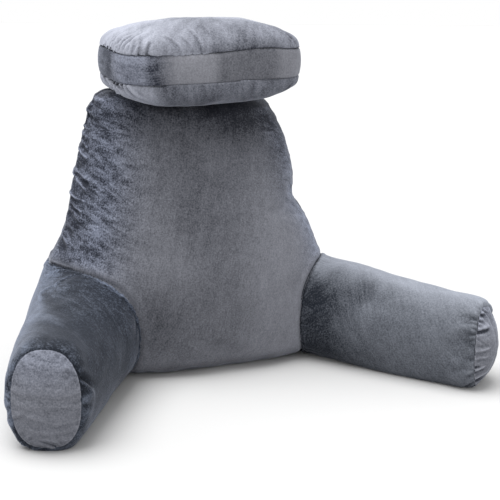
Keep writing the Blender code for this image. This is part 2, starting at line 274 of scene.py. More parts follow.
def pleats(across, along, lines, shift=0.0, hollow=0.006):
    """Folds that run straight on the cloth from one place to another, gone at both ends: a pinched
    crest e^-|t|^1.3 of its own half width above a rounder hollow, or upside down, as a dark tuck,
    where the depth is below 0."""
    height = np.zeros(across.shape)
    for from_across, from_along, to_across, to_along, depth, half_width in zip(*lines.values()):
        way = np.array([to_across - from_across, to_along - from_along])
        length = np.linalg.norm(way)
        right, up = across - from_across, along - from_along + shift
        share = (right * way[0] + up * way[1]) / length**2
        off = (up * way[0] - right * way[1]) / (length * half_width)
        start, end = np.clip(share / 0.25, 0, 1), np.clip((1 - share) / 0.1, 0, 1)
        fade = start * start * (3 - 2 * start) * end * end * (3 - 2 * end)
        below = bell(off * half_width, -1.15 * hollow, hollow)
        height += depth * fade * (np.exp(-(np.abs(off) ** 1.3)) - 0.6 * below)
    return height


def past(value, edge_at, soft):
    """0 below an edge and 1 above it, over a soft width: 1 / (1 + e^-t)."""
    return 1 / (1 + np.exp(-np.clip((value - edge_at) / soft, -30, 30)))


def blown_up(points, quads, held, most, slack):
    """The bag as cloth under pressure: it starts a little smaller, its held points stay, its cut is
    `slack` too large, and no point ends further than `most` from where it was."""
    start = points - cloth_normals(points, quads) * (0.5 * most * (1 - held))[:, None]
    bag = mesh_piece("bag", start, quads)
    bag.vertex_groups.new(name="held").add(np.flatnonzero(held > 0.5).tolist(), 1.0, "REPLACE")
    cloth = bag.modifiers.new("cloth", "CLOTH")
    cloth.settings.quality = 6
    cloth.settings.use_pressure = True
    cloth.settings.uniform_pressure_force = 4.0
    cloth.settings.effector_weights.gravity = 0.0
    cloth.settings.vertex_group_mass = "held"
    cloth.settings.shrink_min = -slack
    cloth.settings.bending_stiffness = 0.2
    cloth.collision_settings.use_collision = False
    cloth.point_cache.frame_start, cloth.point_cache.frame_end = 1, CLOTH_FRAMES
    for moment in range(1, CLOTH_FRAMES + 1):
        scene.frame_set(moment)
    shape = bag.evaluated_get(bpy.context.evaluated_depsgraph_get()).to_mesh()
    moved = np.empty(len(points) * 3)
    shape.vertices.foreach_get("co", moved)
    bpy.data.objects.remove(bag, do_unlink=True)
    scene.frame_set(1)
    move = moved.reshape(-1, 3) - points
    length = np.linalg.norm(move, axis=1)[:, None]
    return points + move * np.minimum(1, most / np.maximum(length, 1e-9))


def calmed(move, times):
    """A grid of moves, each averaged with its neighbours, 1 : 2 : 1 along both axes, `times` over."""
    for _ in range(times):
        move = (np.roll(move, 1, 1) + 2 * move + np.roll(move, -1, 1)) / 4
        move[1:-1] = (move[:-2] + 2 * move[1:-1] + move[2:]) / 4
    return move


def finer(coarse, rows, wrap=False):
    """More rows from few ones, along the first axis, on a cubic through each four neighbours."""
    count = len(coarse)
    at = np.linspace(0, count - (0 if wrap else 1), rows, endpoint=not wrap)
    first = np.floor(at).astype(int)
    t = (at - first).reshape(-1, *[1] * (coarse.ndim - 1))
    before, here, after, beyond = (
        coarse[(first + k) % count] if wrap else coarse[np.clip(first + k, 0, count - 1)]
        for k in (-1, 0, 1, 2)
    )
    curve = 2 * before - 5 * here + 4 * after - beyond
    return here + t / 2 * (after - before + t * (curve + t * (3 * (here - after) + beyond - before)))


def velvet(name, dark, light, brush, crush_turn=0.0, strokes=0.3):
    """Short-pile velvet. It is lighter or darker as each point's stored lightness says, which holds the
    pile's own tone and painted highlights and shade, in wide clouds, in bluer crushed mottles where `crush`
    is high, and in brushed strokes on its `lay` map, with `brush` of them to a metre across and along."""
    material = bpy.data.materials.new(name)
    material.use_nodes = True
    nodes, links = material.node_tree.nodes, material.node_tree.links
    shader = nodes["Principled BSDF"]
    place = nodes.new("ShaderNodeTexCoord").outputs["Object"]
    lay = nodes.new("ShaderNodeUVMap")
    lay.uv_map = "lay"

    # Each of these adds one node and gives its output; `centred` is (value - 0.5) times an amount.
    def mapped(vector, scale=(1, 1, 1), turn=0.0):
        node = nodes.new("ShaderNodeMapping")
        node.inputs["Scale"].default_value = scale
        node.inputs["Rotation"].default_value = (0, 0, turn)
        links.new(vector, node.inputs["Vector"])
        return node.outputs["Vector"]

    def noise(vector, scale, detail, rough, distortion=0.0):
        node = nodes.new("ShaderNodeTexNoise")
        for socket, value in dict(Scale=scale, Detail=detail, Roughness=rough, Distortion=distortion).items():
            node.inputs[socket].default_value = value
        links.new(vector, node.inputs["Vector"])
        return node.outputs["Fac"]

    def maths(kind, *values):
        node = nodes.new("ShaderNodeMath")
        node.operation = kind
        for socket, value in zip(node.inputs, values):
            if isinstance(value, float):
                socket.default_value = value
            else:
                links.new(value, socket)
        return node.outputs[0]

    def attribute(kind):
        node = nodes.new("ShaderNodeAttribute")
        node.attribute_name = kind
        return node.outputs["Fac"]

    def centred(value, amount):
        return maths("MULTIPLY", maths("SUBTRACT", value, 0.5), amount)

    turned = mapped(lay.outputs["UV"], turn=crush_turn)
    clouds = noise(place, 8.0, 3.0, 0.55, 0.6)
    crushed = noise(mapped(turned, (30.0, 95.0, 1.0)), 1.0, 3.0, 0.55, 0.5)
    speckle = noise(place, 380.0, 2.0, 0.7)
    streaks = noise(mapped(turned, (*brush, 1.0)), 1.0, 3.0, 0.6, 0.4)
    wide = noise(mapped(turned, (brush[0] / 6, brush[1] / 4, 1.0)), 1.0, 3.0, 0.6, 0.6)
    crush = attribute("crush")
    lightness = attribute("nap")
    for more in (
        centred(clouds, 0.35),
        maths("MULTIPLY", centred(crushed, 2.0), crush),
        maths("MULTIPLY", centred(speckle, 1.6), maths("ADD", crush, 0.42)),
        centred(streaks, strokes),
        centred(wide, 0.7 * strokes),
    ):
        lightness = maths("ADD", lightness, more)
    ramp = nodes.new("ShaderNodeValToRGB")
    ramp.color_ramp.elements[0].color = (*dark, 1)
    ramp.color_ramp.elements[1].color = (*light, 1)
    links.new(lightness, ramp.inputs["Fac"])
    bluer = nodes.new("ShaderNodeMix")
    bluer.data_type = "RGBA"
    bluer.blend_type = "MULTIPLY"
    bluer.inputs["B"].default_value = (0.86, 0.95, 1.14, 1)
    links.new(crush, bluer.inputs["Factor"])
    links.new(ramp.outputs["Color"], bluer.inputs["A"])
    links.new(bluer.outputs["Result"], shader.inputs["Base Color"])
    bump = nodes.new("ShaderNodeBump")
    bump.inputs["Strength"].default_value = 0.6
    bump.inputs["Distance"].default_value = 0.0012
    pile = maths("ADD", maths("MULTIPLY", speckle, 0.6), maths("MULTIPLY", streaks, 0.35))
    mottles = maths("MULTIPLY", maths("MULTIPLY", crushed, crush), 2.0)
    links.new(maths("ADD", pile, mottles), bump.inputs["Height"])
    links.new(bump.outputs["Normal"], shader.inputs["Normal"])
    shader.inputs["Roughness"].default_value = 0.75
    shader.inputs["Specular IOR Level"].default_value = 0.15
    shader.inputs["Sheen Weight"].default_value = 0.3
    shader.inputs["Sheen Roughness"].default_value = 0.3
    shader.inputs["Sheen Tint"].default_value = (0.72, 0.77, 0.9, 1)
    return material


def dress(piece, material, nap, crush, lay):
    """Covers a piece in velvet, and stores how light each point is, from the pile's own tone and from
    painted highlights and shade, how crushed the pile is there, and where the point lies on the flat
    cloth, in metres."""
    mesh = piece.data
    mesh.materials.append(material)
    for kind, value in (("nap", nap), ("crush", crush)):
        mesh.attributes.new(kind, "FLOAT", "POINT").data.foreach_set("value", np.clip(value, 0, 1))
    corner = np.empty(len(mesh.loops), dtype=np.int32)
    mesh.loops.foreach_get("vertex_index", corner)
    mesh.uv_layers.new(name="lay").data.foreach_set("uv", lay[corner].ravel())


def lengths(grid, axis):
    """How far each point of a grid lies from the grid's first row or column, along the cloth."""
    step = np.linalg.norm(np.diff(grid, axis=axis), axis=-1)
    return np.concatenate([np.zeros_like(step.take([0], axis)), np.cumsum(step, axis)], axis)


# Where the arms are sewn in. An arm's section is carried along a curve on the floor, from a dome inside
# the back, over the root at share 0 and the tip at 1, to the end panel's seam at 2.
ARM_LINE = np.array([(0.17, 0.026), (0.272, -0.154), (0.343, -0.328)])  # start, control and end
RIGHT_ARM_SHIFT = np.array([(-0.008, 0.0), (-0.025, 0.002), (0.004, 0.001)])
arm_lines = {-1: ARM_LINE, 1: ARM_LINE + RIGHT_ARM_SHIFT}
ARM_SQUARENESS = 2.4
ROOT_DOME = 0.03
ROOT_TUCK = 0.08
END_NARROWING = 0.19
END_LOWERING = {-1: 0.09, 1: 0.17}  # how much lower the end is than the arm, by its height
END_LIFTING = {-1: 0.19, 1: 0.17}  # how much higher its bottom lies
SEAT_SIDE_LONGER = {-1: 0.0, 1: 0.013}
SHOULDER_LIFT = {-1: 0.02, 1: 0.0}  # of the root, between its top and its outer side
SHOULDER_PLACE = (0.85, 0.35)  # its middle and half width, as shares of the section's half width
SHOULDER_REACH = 0.4  # the share of the arm over which it fades
END_SHOULDER = 0.034
END_ROUNDING = 1.8  # the power by which the tip narrows
RIGHT_ARM_DROP = table(
    "share  drop",
    (0, 0.026), (0.12, 0.016), (0.3, 0.003), (0.5, -0.003),
    (0.7, -0.001), (0.85, 0.004), (1, 0.011),
)
ARM_SECTIONS = table(
    "share  half_width  height  sink",
    (0, 0.112, 0.19, -0.005), (0.5, 0.0865, 0.169, 0.012), (1, 0.06, 0.169, 0.012),
)
ARM_COLUMNS = 384
OVAL_STEPS = 8001


def oval(squareness, count, start=-np.pi / 2, sizes=(1.0, 1.0)):
    """Points evenly spaced along |x / size|^squareness + |y / size|^squareness = 1, from a starting
    angle, and how far along it each one lies."""
    turn = np.linspace(start, start + 2 * np.pi, OVAL_STEPS)
    way = np.stack([np.cos(turn), np.sin(turn)], axis=-1)
    line = sizes * np.sign(way) * np.abs(way) ** (2 / squareness)
    length = lengths(line, 0)
    at = np.linspace(0, length[-1], count, endpoint=False)
    return np.stack([np.interp(at, length, part) for part in line.T], axis=-1), at


def arm_surface(side, share, section):
    """Points at a share along the arm and on the section's outline: the outline scaled by half width
    and half height, set square to the heading, and pressed flat on the floor."""
    line = arm_lines[side]
    t = np.clip(share, 0, 1)
    centre = [line[0, k] * (1 - t) ** 2 + 2 * line[1, k] * t * (1 - t) + line[2, k] * t**2 for k in (0, 1)]
    way = [(line[1, k] - line[0, k]) * (1 - t) + (line[2, k] - line[1, k]) * t for k in (0, 1)]
    length = np.hypot(*way)
    way = [part / length for part in way]
    half_width, tall, sink = smooth_curve(t, ARM_SECTIONS, "half_width", "height", "sink")
    root = np.clip(-share, 0, 1) * np.pi / 2
    tip = np.clip(share - 1, 0, 1) ** END_ROUNDING
    forward = END_SHOULDER * np.sin(np.clip(share - 1, 0, 1) * np.pi / 2) - ROOT_DOME * np.sin(root)
    forward = forward + SEAT_SIDE_LONGER[side] * np.clip(-section[..., 0], 0, 1) * tip
    wide = half_width * section[..., 0] * np.cos(root) * (1 - END_NARROWING * tip)
    inwards = ROOT_TUCK * (1 - np.cos(root))
    x = centre[0] + way[0] * forward - way[1] * wide - inwards
    y = centre[1] + way[1] * forward + way[0] * wide
    smaller = np.where(section[..., 1] > 0, END_LOWERING[side], END_LIFTING[side])
    z = tall / 2 - sink + section[..., 1] * np.cos(root) * (1 - smaller * tip) * tall / 2
    lifted = bell(section[..., 0], *SHOULDER_PLACE) * np.clip(section[..., 1], 0, 1)
    z += SHOULDER_LIFT[side] * lifted * np.clip(1 - t / SHOULDER_REACH, 0, 1) ** 2 * np.cos(root)
    if side > 0:
        z -= np.interp(t, *RIGHT_ARM_DROP.values()) * z / tall
    return np.stack([side * x, y, np.maximum(z, 0)], axis=-1) + ORIGIN


def root_share(side, section):
    """The last share at which each point of the section is still inside the back."""
    share = np.linspace(-1, 1, 1201)[:, None] * np.ones(len(section))
    points = arm_surface(side, share, np.broadcast_to(section, (*share.shape, 2))) - ORIGIN
    ahead, behind = back_faces(points[..., 0], points[..., 2])
    off = points[..., 1] - BACK_LEAN * points[..., 2]
    sunk = (off > -ahead) & (off < behind) & (points[..., 2] < BACK_HEIGHT)
    last = share[len(share) - 1 - np.argmax(sunk[::-1], axis=0), 0]
    for _ in range(3):
        last = (np.roll(last, 1) + 2 * last + np.roll(last, -1)) / 4
    return last


arm_section, _ = oval(ARM_SQUARENESS, ARM_COLUMNS)
root_shares = {side: root_share(side, arm_section) for side in (-1, 1)}
root_lines = {side: arm_surface(side, root_shares[side], arm_section) for side in (-1, 1)}

# Rows from the bottom edge to the top seam, and columns from the left edge to the right one, closer
# together where the arms are sewn in.
ROLL_ROWS, RISE_ROWS = 15, 25  # of the rounded bottom edge and top edge
roll = np.linspace(0, np.pi / 2, ROLL_ROWS)[:-1]
rise = np.linspace(0, np.pi / 2, RISE_ROWS)[:-1]
top_rows = BACK_HEIGHT - TOP_ROLL * (1 - np.sin(rise))
middle_rows = np.linspace(BOTTOM_ROLL, top_rows[0], BACK_ROWS - len(roll) - len(rise))[:-1]
row_height = np.concatenate([BOTTOM_ROLL * (1 - np.cos(roll)), middle_rows, top_rows, [BACK_HEIGHT]])
angle = np.linspace(np.pi, 0, 4001)
density = 1 + 1.1 * bell(np.abs(np.cos(angle)), 0.68, 0.3)
turned = np.cos(np.interp(np.linspace(0, 1, BACK_COLUMNS + 1), np.cumsum(density) / density.sum(), angle))
column_share = np.sign(turned) * (1 - (1 - np.abs(turned)) ** 1.15)

front_grid, rear_grid = back_grids(row_height, column_share)
every_row = np.arange(len(row_height))
few_rows = np.linspace(0, every_row[-1], 76).round().astype(int)
few_columns = np.arange(0, BACK_COLUMNS + 1, 4)
few_points, few_quads, _, few_front, few_rear = back_mesh(
    *(grid[few_rows][:, few_columns] for grid in (front_grid, rear_grid))
)
held = np.zeros(len(few_points))
held[np.concatenate([few_front[:, 0], few_front[:, -1], few_front[-1], few_front[0], few_rear[0]])] = 1
few_move = blown_up(few_points, few_quads, held, *BACK_CLOTH) - few_points
for grid, index in ((front_grid, few_front), (rear_grid, few_rear)):
    rows = np.apply_along_axis(lambda known: np.interp(every_row, few_rows, known), 0, few_move[index])
    grid += np.swapaxes(finer(np.swapaxes(rows, 0, 1), BACK_COLUMNS + 1), 0, 1)

back_points, back_quads, back_ends, front_index, rear_index = back_mesh(front_grid, rear_grid)
front_round, rear_round = lengths(front_grid, 1), lengths(rear_grid, 1)
total = front_round[:, -1:]
rear_total = rear_round[:, -1:]
round_left, round_right, lay_across = np.zeros((3, len(back_points)))
round_left[rear_index], round_right[rear_index] = -rear_round, rear_round - rear_total
round_left[front_index], round_right[front_index] = front_round, total - front_round
from_edge = np.where(column_share < 0, rear_round, rear_total - rear_round) / np.maximum(rear_total, 1e-6)
lay_across[rear_index] = total * (from_edge - 0.5) * np.where(column_share < 0, 1, -1)
lay_across[front_index] = front_round - total / 2

local = back_points - ORIGIN
height = back_points[:, 2]
clear_top = np.clip((BACK_HEIGHT + 0.004 - height) / 0.02, 0, 1)
clear_floor = np.clip((height - 0.012) / 0.05, 0, 1)
relief = (waves(back_points, 0.11, 3) * 0.0011 + waves(back_points, 0.05, 4) * 0.0005) * clear_floor
FOLDS_SHAPED = 0.7  # the part of the side folds' depth that is shape; all of it is painted, as highlight on their crests and shade in their troughs
on_flank, folds, behind_seam, seam_light_and_shade_by_arm, near_arm = np.zeros((5, len(back_points)))
for side, round_side in ((-1, round_left), (1, round_right)):
    near = (side * local[:, 0] > 0) * clear_top
    from_seam = round_side - np.interp(height, *SIDE_SEAM.values())
    gathered = near * (RIGHT_GATHERED if side > 0 else 1.0)
    folds += gathered * pleats(round_side, height, SIDE_PLEATS, RIGHT_PLEATS_LOWER * (side > 0))
    small = gathers(height, np.abs(from_seam), 0.01, 0.001, 0.01, 5 + side, -0.6)
    relief += gathered * clear_floor * small
    relief -= near * 0.0012 * bell(from_seam, 0, 0.0026)
    behind_seam += near * past(-from_seam, 0.0, 0.003)
    on_flank += near * bell(np.clip(from_seam - 0.035, 0, 1), 0, 0.06) * past(from_seam, -0.13, 0.02)
    apart = np.ones(len(back_points))
    by_root = np.flatnonzero((side * local[:, 0] > 0.08) & (height < 0.24))
    to_line = back_points[by_root, None] - root_lines[side][None, ::3]
    apart[by_root] = np.sqrt((to_line**2).sum(axis=-1).min(axis=1))
    drawn_in = 0.0022 * bell(apart, 0.01, 0.006) - 0.004 * bell(apart, 0, 0.0032)
    relief += drawn_in * np.clip(height / 0.02, 0, 1)
    # A painted highlight on the back's puffed lip over the left arm. Along each arm's seam, a painted
    # highlight on the puffed edge lies beside painted shade in the seam.
    lip_highlight = 3.5 * (side < 0) * bell(local[:, 0], -0.248, 0.018) * bell(apart, 0.0046, 0.002)
    seam_light_and_shade_by_arm += near * (lip_highlight + bell(apart, 0.0065, 0.003) - 1.6 * bell(apart, 0, 0.0028))
    near_arm += near * bell(apart, 0, 0.012)
from_top = np.abs(local[:, 1] - BACK_LEAN * BACK_HEIGHT) + np.abs(BACK_HEIGHT - height)
x = local[:, 0]
relief -= 0.003 * bell(from_top, 0, 0.0045)
relief += gathers(x, from_top, 0.016, 0.0025, 0.03, 21) * np.clip(1 - np.abs(x) / 0.15, 0, 1)
corner = bell(x, -0.137, 0.028) * np.clip((height - 0.415) / 0.04, 0, 1)
relief += 0.0085 * corner + FOLDS_SHAPED * folds
back_points = back_points + cloth_normals(back_points, back_quads) * relief[:, None]
back_points[:, 2] = np.maximum(back_points[:, 2], 0)
back_points[np.concatenate([front_index[0], rear_index[0]]), 2] = 0

backrest = mesh_piece("velvet_back", back_points, back_quads, back_ends)
# Where the front's pile lies darker or lighter than around it.
PILE_PATCHES = table(
    "x  height  half_width  half_height  more",
    (-0.125, 0.25, 0.04, 0.06, 0.05), (-0.045, 0.26, 0.06, 0.06, -0.08),
    (-0.13, 0.37, 0.035, 0.04, 0.06), (-0.12, 0.12, 0.035, 0.06, -0.12),
    (-0.05, 0.36, 0.05, 0.045, -0.04), (0.13, 0.3, 0.03, 0.05, 0.06),
)
nap = 0.31 + 0.03 * waves(back_points, 0.16, 9)
nap += 0.24 * past(x, 0.055, 0.03) * past(0.33 - height, 0, 0.03) + 0.11 * past(0.2 - height, 0, 0.02)
nap += 0.11 * past(0.045 - height, 0, 0.01)
for at_x, at_height, half_width, half_height, more in zip(*PILE_PATCHES.values()):
    nap += more * bell(x, at_x, half_width) * bell(height, at_height, half_height)
# Under the head cushion the pile is darker, deepened there with painted shade. The top left corner is darker
# too.
nap -= (0.19 + 0.26 * past(x, 0.02, 0.02)) * past(height, 0.395, 0.014) * past(x, -0.115, 0.014)
nap -= 0.2 * past(height, 0.4, 0.01) * past(-x, 0.115, 0.01)
# Painted highlights on the side folds' crests and painted shade in their troughs, a little darker behind the
# side seams, and the painted highlight and shade at the arms' seams.
ridge = np.clip(folds / 0.004, -1, 1)
nap += 1.25 * np.maximum(ridge, 0) ** 2.8 - 0.85 * np.maximum(-ridge, 0) - 0.15 * behind_seam + 0.14 * seam_light_and_shade_by_arm
# On the flanks, raised cloth is painted lighter as highlight and hollows darker as shade.
nap += np.clip(30.0 * (relief - FOLDS_SHAPED * folds), -0.12, 0.12) * on_flank
pile = velvet("back_pile", (0.012, 0.0135, 0.019), (0.235, 0.24, 0.27), (480, 80), 0.3, 0.35)
crush = 0.04 + 0.75 * on_flank * (1 - 0.8 * near_arm)
dress(backrest, pile, nap, crush, np.stack([lay_across, height], axis=-1))
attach(backrest, "root")
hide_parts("backrest")

# ------------------------------
# The arms: two stuffed velvet tubes, sewn into the back's flanks with a curved seam, flattened where
# they lie on the floor, and gathered at the tip on to the smaller end panel.

ARM_ROWS = 190
TUBE_PART = 0.72  # the part of the rows that lies before the rounded tip
# How light the pile lies round each arm: from the floor at turn 0 up the outer side, over the top at
# 0.5 and down the seat side.
PILE_ROUND_ARM = {
    -1: table(
        "turn  nap",
        (0, 0.3), (0.25, 0.6), (0.37, 0.38), (0.45, 0.07),
        (0.62, 0), (0.75, 0.02), (0.85, 0.16), (1, 0.3),
    ),
    1: table(
        "turn  nap",
        (0, 0.3), (0.25, 0.4), (0.42, 0.9), (0.52, 0.9), (0.58, 0.62),
        (0.66, 0.42), (0.74, 0.44), (0.85, 0.38), (1, 0.3),
    ),
}
# Where the tube is gathered hardest, in metres round the end's seam from the floor.
TIP_GATHERS = {
    -1: table("around  half_width  more", (0.275, 0.024, 2.2), (0.115, 0.04, 1.7), (0.02, 0.03, 0.8)),
    1: table("around  half_width  more", (0.237, 0.018, 1.8), (0.313, 0.008, 1.2), (0.352, 0.012, 1.8)),
}
# The crease down the left arm from the fold over its root: round the arm, and away from the root.
LEFT_CREASE = table(
    FOLD,
    (0.44, 0.008, 0.48, 0.078, 0.004, 0.002), (0.482, 0.058, 0.398, 0.136, 0.0036, 0.0022),
    (0.425, 0.112, 0.285, 0.232, 0.0026, 0.0026),
)


def tube_mesh(grid, inside_out, first_pole=None):
    """A tube's points, its quads, and the two fans that close it on its poles: the means of its first
    and its last row, unless a first pole is given."""
    rows, columns = grid.shape[:2]
    around = np.pad(np.arange(rows * columns).reshape(rows, columns), ((0, 0), (0, 1)), "wrap")
    poles = np.full(columns, rows * columns), np.full(columns, rows * columns + 1)
    first = np.stack([around[0, 1:], around[0, :-1], poles[0]], axis=-1)
    last = np.stack([around[-1, :-1], around[-1, 1:], poles[1]], axis=-1)
    quads, fans = grid_quads(around), np.concatenate([first, last])
    first_pole = grid[0].mean(axis=0) if first_pole is None else first_pole
    points = np.concatenate([grid.reshape(-1, 3), [first_pole, grid[-1].mean(axis=0)]])
    return (points, quads[:, ::-1], fans[:, ::-1]) if inside_out else (points, quads, fans)


ARM_LIGHT = {-1: (0.205, 0.232, 0.293), 1: (0.226, 0.24, 0.272)}
ARM_CLOTH = {-1: (0.003, 0.01), 1: (0.0045, 0.02)}
TUBE_PROUD = 0.0034  # the most that gathers may stand out
LID_ROWS = 12
LID_GAP = 0.0015
for side, name in ((-1, "left"), (1, "right")):
    way = np.linspace(0, 1, ARM_ROWS)[:, None]
    seam = root_shares[side]
    along = seam + (1 - seam) * (way / TUBE_PART) ** 1.3
    share = np.where(way < TUBE_PART, along, 1 + (way - TUBE_PART) / (1 - TUBE_PART))
    grid = arm_surface(side, share, np.broadcast_to(arm_section, (ARM_ROWS, ARM_COLUMNS, 2)))
    bend = int(ARM_ROWS * TUBE_PART)  # where the tip starts to round
    first, last = bend - 7, bend + 16
    for _ in range(30):
        mean = grid[first - 1 : last - 1] + 2 * grid[first:last] + grid[first + 1 : last + 1]
        grid[first:last] = mean / 4
    few = grid[np.linspace(0, ARM_ROWS - 1, 48).round().astype(int)][:, ::8]
    points, quads, _ = tube_mesh(few, side < 0)
    held = np.zeros(len(points))
    held[: few.shape[1]] = held[-2 - few.shape[1] :] = 1
    held[points[:, 2] < 0.0005] = 1
    move = (blown_up(points, quads, held, *ARM_CLOTH[side]) - points)[:-2].reshape(few.shape)
    more = finer(calmed(move, 3), ARM_ROWS)
    grid = grid + np.swapaxes(finer(np.swapaxes(more, 0, 1), ARM_COLUMNS, wrap=True), 0, 1)

    around, run = lengths(grid, 1), lengths(grid, 0)
    to_tip = run[-1] - run
    root_around = np.broadcast_to(around[0], run.shape)
    tip_around = np.broadcast_to(around[-1], run.shape)
    relief = 0.0015 - 0.0045 * np.exp(-((run / 0.0032) ** 1.6)) + 0.0014 * bell(run, 0.009, 0.004)
    relief += gathers(root_around, run, 0.011, 0.002, 0.024, 31 + side)
    hard = (0.6 if side < 0 else 0.35) + bells(tip_around, TIP_GATHERS[side])
    relief += hard * gathers(tip_around, to_tip, 0.0115 - 0.002 * side, 0.0032, 0.022, 41 + side, 0.2)
    relief += gathers(tip_around, to_tip, 0.03, 0.0022 + 0.001 * (side > 0), 0.035, 51 + side, 0.1)
    if side < 0:
        outer = bell(tip_around, 0.118, 0.036)
        relief += outer * gathers(tip_around, to_tip, 0.0085, 0.0045, 0.016, 45, 0.6)
        crease = pleats(around, run, LEFT_CREASE, hollow=0.007)
        relief += 0.35 * crease
    relief -= 0.0012 * np.exp(-((to_tip / 0.0024) ** 1.5))
    relief = np.clip(relief, -0.0065, TUBE_PROUD)
    relief += waves(grid, 0.09, 61 + side) * 0.001 + waves(grid, 0.035, 71 + side) * 0.0004

    # The lid that closes the root lies against the back's front, under its seam.
    middle = grid[0].mean(axis=0)
    lid = np.array([0, *np.linspace(0.1, 0.97, LID_ROWS)])[:, None, None] * (grid[0] - middle) + middle
    from_middle = lid[..., 0] - ORIGIN[0]
    ahead, _ = back_faces(from_middle, lid[..., 2])
    front_y = BACK_LEAN * lid[..., 2] - ahead + ORIGIN[1]
    half_width = back_section(lid[..., 2].ravel())[side > 0].reshape(ahead.shape)
    pressed = np.minimum(lid[..., 1], front_y - LID_GAP)
    lid[..., 1] = np.where(np.abs(from_middle) < half_width, pressed, lid[..., 1])
    points, quads, fans = tube_mesh(np.concatenate([lid[1:], grid]), side < 0, lid[0, 0])
    inner = LID_ROWS * ARM_COLUMNS
    normals = cloth_normals(points, quads)
    on_floor = np.clip(grid[..., 2] / 0.006, 0, 1)
    proud = np.minimum(relief, TUBE_PROUD - 0.002 * bell(to_tip, 0, 0.012))
    points[inner:-2] += normals[inner:-2] * (proud * on_floor).reshape(-1, 1)
    points[:, 2] = np.maximum(points[:, 2], 0)
    arm = mesh_piece(f"velvet_arm_{name}", points, quads, fans)

    clouds = waves(grid, 0.1, 81) + 0.5 * waves(grid, 0.03, 83)
    turn = np.arange(ARM_COLUMNS) / ARM_COLUMNS + 0.02 * clouds
    nap = np.interp(turn, *PILE_ROUND_ARM[side].values()) + 0.03 * clouds
    if side > 0:
        nap -= 0.4 * past(turn, 0.585, 0.02) * past(0.104 - run + 0.022 * clouds, 0, 0.024)
    # Painted shade along the root seam.
    nap -= 0.25 * bell(run, 0, 0.0022)
    crush = 0.1 + 0.25 * (side < 0) * bell(run, 0, 0.08) + 0.12 * past(0.42 - turn, 0, 0.03)
    by_tip = bell(to_tip, 0, 0.03)
    if side < 0:
        # Under the back's puffed edge over the left arm, a dent and painted shade. The crease down the arm is
        # painted lighter on its ridges and darker in its hollows.
        dent_and_shade_under_edge = bell(run, 0, 0.018) * bell(root_around, 0.405, 0.028)
        relief -= 0.004 * dent_and_shade_under_edge
        nap += 60.0 * crease - 0.4 * dent_and_shade_under_edge
        # A painted highlight on the puffed rim inside the root seam, and painted shade just inside it.
        puff_highlight_and_shade = bell(run, 0.01, 0.005) - 0.55 * bell(run, 0.028, 0.013)
        nap += 0.36 * puff_highlight_and_shade * bell(root_around, 0.51, 0.075)
        # Painted shade in the fold at the bottom of the end seam and along the floor at the tip.
        nap -= 0.8 * bell(to_tip, 0, 0.008) * bell(tip_around, 0.043, 0.018)
        nap -= 0.3 * bell(to_tip, 0, 0.007) * bell(np.minimum(turn, 1 - turn), 0, 0.05)
        nap -= 0.26 * bell(to_tip, 0, 0.018) * outer
        nap += by_tip * (0.04 + 0.1 * bell(turn, 0.29, 0.06) + 0.06 * past(turn, 0.64, 0.03))
    # Raised gathers are painted lighter as highlight and their hollows darker as shade, more so by the tip.
    nap = nap + np.clip((30.0 + 60.0 * by_tip) * (relief - 0.0015), -0.16 - 0.4 * by_tip, 0.16 + 0.2 * by_tip)
    kept = np.stack([nap, crush, around, run], axis=-1).reshape(-1, 4)
    on_lid, on_poles = np.array([[(0.3, 0.3, 0, 0)], [(0.3, 0.1, 0, 0)]])
    kept = np.concatenate([on_lid.repeat(inner, axis=0), kept, on_poles.repeat(2, axis=0)])
    pile = velvet(f"arm_pile_{name}", (0.0075, 0.01, 0.0155), ARM_LIGHT[side], (300, 45), 0.5)
    dress(arm, pile, kept[:, 0], kept[:, 1], kept[:, 2:])
    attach(arm, "root")
    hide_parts(f"arm_{name}")

# ------------------------------
# The arm ends: an oval velvet panel closes each arm's tip. Its edge is sewn to the gathered tube, and
# the filling domes it outwards.

END_DARK = (0.018, 0.02, 0.028)  # of the ends, the head cushion and its band
END_DOME = 0.022
END_GAP = 0.0006
END_REACH = 0.062  # from the middle to the rim
END_ROWS = 64
FOLDS_FLATTER = 0.6  # the part of the folds' depth that is not shaped, only painted as highlight and shade
# Folds of the end panels: across them, and by height.
END_WRINKLES = {
    -1: table(
        FOLD,
        (-0.03, 0.06, 0.012, 0.052, 0.001, 0.003), (-0.005, 0.074, 0.06, 0.07, 0.0012, 0.002),
        (0, 0.045, 0.06, 0.049, 0.0014, 0.0022), (-0.028, 0.039, 0.005, 0.03, 0.0014, 0.003),
        (0.002, 0.031, 0.056, 0.038, 0.0014, 0.002), (-0.015, 0.02, 0.05, 0.018, 0.0018, 0.0025),
        (0.006, 0.086, 0.062, 0.09, 0.001, 0.0018), (0.024, 0.132, 0.054, 0.106, 0.003, 0.0024),
        (0.026, 0.118, 0.06, 0.098, 0.002, 0.0018), (-0.014, 0.022, 0.024, 0.001, -0.005, 0.0026),
    ),
    1: table(
        FOLD,
        (-0.05, 0.167, 0.006, 0.125, 0.0056, 0.0018), (-0.075, 0.139, -0.004, 0.1265, 0.0064, 0.0018),
        (-0.075, 0.135, -0.02, 0.119, 0.0058, 0.0018), (-0.08, 0.12, -0.028, 0.114, 0.0034, 0.0016),
        (-0.08, 0.105, -0.012, 0.109, 0.007, 0.0028), (-0.08, 0.099, -0.018, 0.103, -0.005, 0.003),
        (-0.08, 0.067, -0.018, 0.076, 0.0034, 0.0022), (-0.08, 0.0575, -0.024, 0.061, 0.0024, 0.0018),
        (-0.08, 0.0395, -0.036, 0.045, -0.006, 0.0026), (-0.075, 0.027, -0.028, 0.045, 0.005, 0.0024),
        (-0.07, 0.013, -0.012, 0.032, 0.0048, 0.0026), (-0.072, 0.004, -0.012, 0.0205, -0.006, 0.0036),
    ),
}
